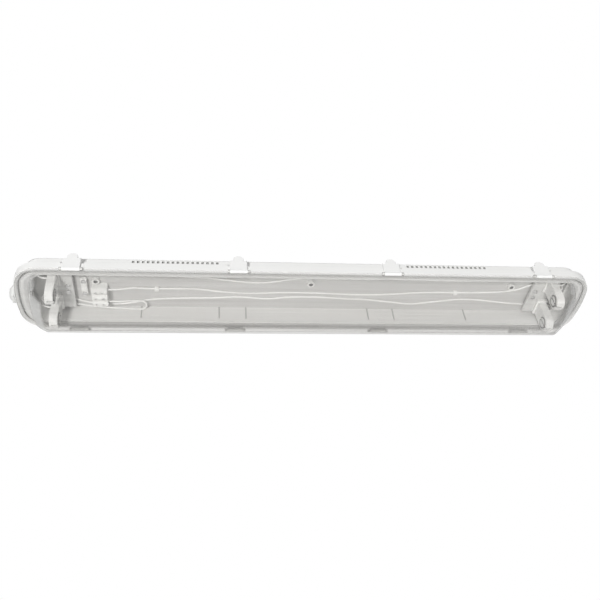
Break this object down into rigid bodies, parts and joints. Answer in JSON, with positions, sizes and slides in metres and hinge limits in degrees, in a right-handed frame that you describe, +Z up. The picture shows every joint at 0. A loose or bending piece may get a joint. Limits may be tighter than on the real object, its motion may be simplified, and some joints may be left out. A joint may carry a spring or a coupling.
{
  "type": "vapor tight light fixture",
  "caption": "Long sealed batten light with a white tray, clear tapered diffuser on side clips, and rotary tube lampholders inside, fixed by its flat back.",
  "frame": {"origin": "middle of the flat back face that lies against the ceiling", "axes": "+Z up, out of the back face towards the ceiling; +X along the length, away from the cable gland; -Y is the long side that faces the viewer in the picture"},
  "size_m": [0.6958, 0.1054, 0.0565],
  "materials": {
    "housing_white": "satin moulded",
    "clear_plastic": "clear, ribbed inside",
    "gasket_foam": "foamed seal",
    "clip_white": "moulded",
    "holder_white": "moulded",
    "rotor_white": "moulded",
    "bracket_white": "white enamel",
    "screw_steel": "zinc plated",
    "contact_brass": "stamped",
    "terminal_white": "moulded",
    "wire_white": "insulation",
    "gland_white": "moulded",
    "seal_rubber": "moulded"
  },
  "bodies": {
    "housing": {"base_housing": "housing_white", "gasket": "gasket_foam", "lampholder_bracket_left": "bracket_white", "lampholder_bracket_right": "bracket_white", "bracket_screws": "screw_steel", "lampholder_left_front": "holder_white", "lampholder_left_rear": "holder_white", "lampholder_right_front": "holder_white", "lampholder_right_rear": "holder_white", "lampholder_contacts": "contact_brass", "terminal_block": "terminal_white", "terminal_sleeves": "contact_brass", "terminal_screws": "screw_steel", "cord_clamp": "terminal_white", "clamp_screws": "screw_steel", "wire_holders": "terminal_white", "wire_front": "wire_white", "wire_middle": "wire_white", "wire_rear": "wire_white", "wire_loop": "wire_white", "gland_body": "gland_white", "gland_seal": "seal_rubber", "gland_cap_nut": "gland_white", "gland_locknut": "gland_white"},
    "diffuser": {"diffuser": "clear_plastic"},
    "clip_front_1": {"clip_front_1": "clip_white"},
    "clip_front_2": {"clip_front_2": "clip_white"},
    "clip_front_3": {"clip_front_3": "clip_white"},
    "clip_front_4": {"clip_front_4": "clip_white"},
    "clip_rear_1": {"clip_rear_1": "clip_white"},
    "clip_rear_2": {"clip_rear_2": "clip_white"},
    "clip_rear_3": {"clip_rear_3": "clip_white"},
    "clip_rear_4": {"clip_rear_4": "clip_white"},
    "rotor_left_front": {"rotor_left_front": "rotor_white"},
    "rotor_left_rear": {"rotor_left_rear": "rotor_white"},
    "rotor_right_front": {"rotor_right_front": "rotor_white"},
    "rotor_right_rear": {"rotor_right_rear": "rotor_white"}
  },
  "joints": [
    {"name": "diffuser_drop", "type": "slide", "parent": "housing", "child": "diffuser", "axis": [0, 0, -1], "range_m": [0, 0.04]},
    {"name": "clip_front_1_hinge", "type": "hinge", "parent": "diffuser", "child": "clip_front_1", "pos_m": [-0.276, -0.0506, -0.0286], "axis": [1, 0, 0], "range_deg": [0, 150]},
    {"name": "clip_front_2_hinge", "type": "hinge", "parent": "diffuser", "child": "clip_front_2", "pos_m": [-0.09, -0.0506, -0.0286], "axis": [1, 0, 0], "range_deg": [0, 150]},
    {"name": "clip_front_3_hinge", "type": "hinge", "parent": "diffuser", "child": "clip_front_3", "pos_m": [0.09, -0.0506, -0.0286], "axis": [1, 0, 0], "range_deg": [0, 150]},
    {"name": "clip_front_4_hinge", "type": "hinge", "parent": "diffuser", "child": "clip_front_4", "pos_m": [0.276, -0.0506, -0.0286], "axis": [1, 0, 0], "range_deg": [0, 150]},
    {"name": "clip_rear_1_hinge", "type": "hinge", "parent": "diffuser", "child": "clip_rear_1", "pos_m": [-0.276, 0.0506, -0.0286], "axis": [-1, 0, 0], "range_deg": [0, 150]},
    {"name": "clip_rear_2_hinge", "type": "hinge", "parent": "diffuser", "child": "clip_rear_2", "pos_m": [-0.09, 0.0506, -0.0286], "axis": [-1, 0, 0], "range_deg": [0, 150]},
    {"name": "clip_rear_3_hinge", "type": "hinge", "parent": "diffuser", "child": "clip_rear_3", "pos_m": [0.09, 0.0506, -0.0286], "axis": [-1, 0, 0], "range_deg": [0, 150]},
    {"name": "clip_rear_4_hinge", "type": "hinge", "parent": "diffuser", "child": "clip_rear_4", "pos_m": [0.276, 0.0506, -0.0286], "axis": [-1, 0, 0], "range_deg": [0, 150]},
    {"name": "rotor_left_front_turn", "type": "hinge", "parent": "housing", "child": "rotor_left_front", "pos_m": [-0.2985, -0.02, -0.04], "axis": [1, 0, 0], "range_deg": [0, 90]},
    {"name": "rotor_left_rear_turn", "type": "hinge", "parent": "housing", "child": "rotor_left_rear", "pos_m": [-0.2985, 0.02, -0.04], "axis": [1, 0, 0], "range_deg": [0, 90]},
    {"name": "rotor_right_front_turn", "type": "hinge", "parent": "housing", "child": "rotor_right_front", "pos_m": [0.2985, -0.02, -0.04], "axis": [1, 0, 0], "range_deg": [0, 90]},
    {"name": "rotor_right_rear_turn", "type": "hinge", "parent": "housing", "child": "rotor_right_rear", "pos_m": [0.2985, 0.02, -0.04], "axis": [1, 0, 0], "range_deg": [0, 90]}
  ],
  "couplings": [
    {"joint": "clip_front_1_hinge", "follows": "diffuser_drop", "rad_per_m": 65.4},
    {"joint": "clip_front_2_hinge", "follows": "diffuser_drop", "rad_per_m": 65.4},
    {"joint": "clip_front_3_hinge", "follows": "diffuser_drop", "rad_per_m": 65.4},
    {"joint": "clip_front_4_hinge", "follows": "diffuser_drop", "rad_per_m": 65.4},
    {"joint": "clip_rear_1_hinge", "follows": "diffuser_drop", "rad_per_m": 65.4},
    {"joint": "clip_rear_2_hinge", "follows": "diffuser_drop", "rad_per_m": 65.4},
    {"joint": "clip_rear_3_hinge", "follows": "diffuser_drop", "rad_per_m": 65.4},
    {"joint": "clip_rear_4_hinge", "follows": "diffuser_drop", "rad_per_m": 65.4}
  ]
}
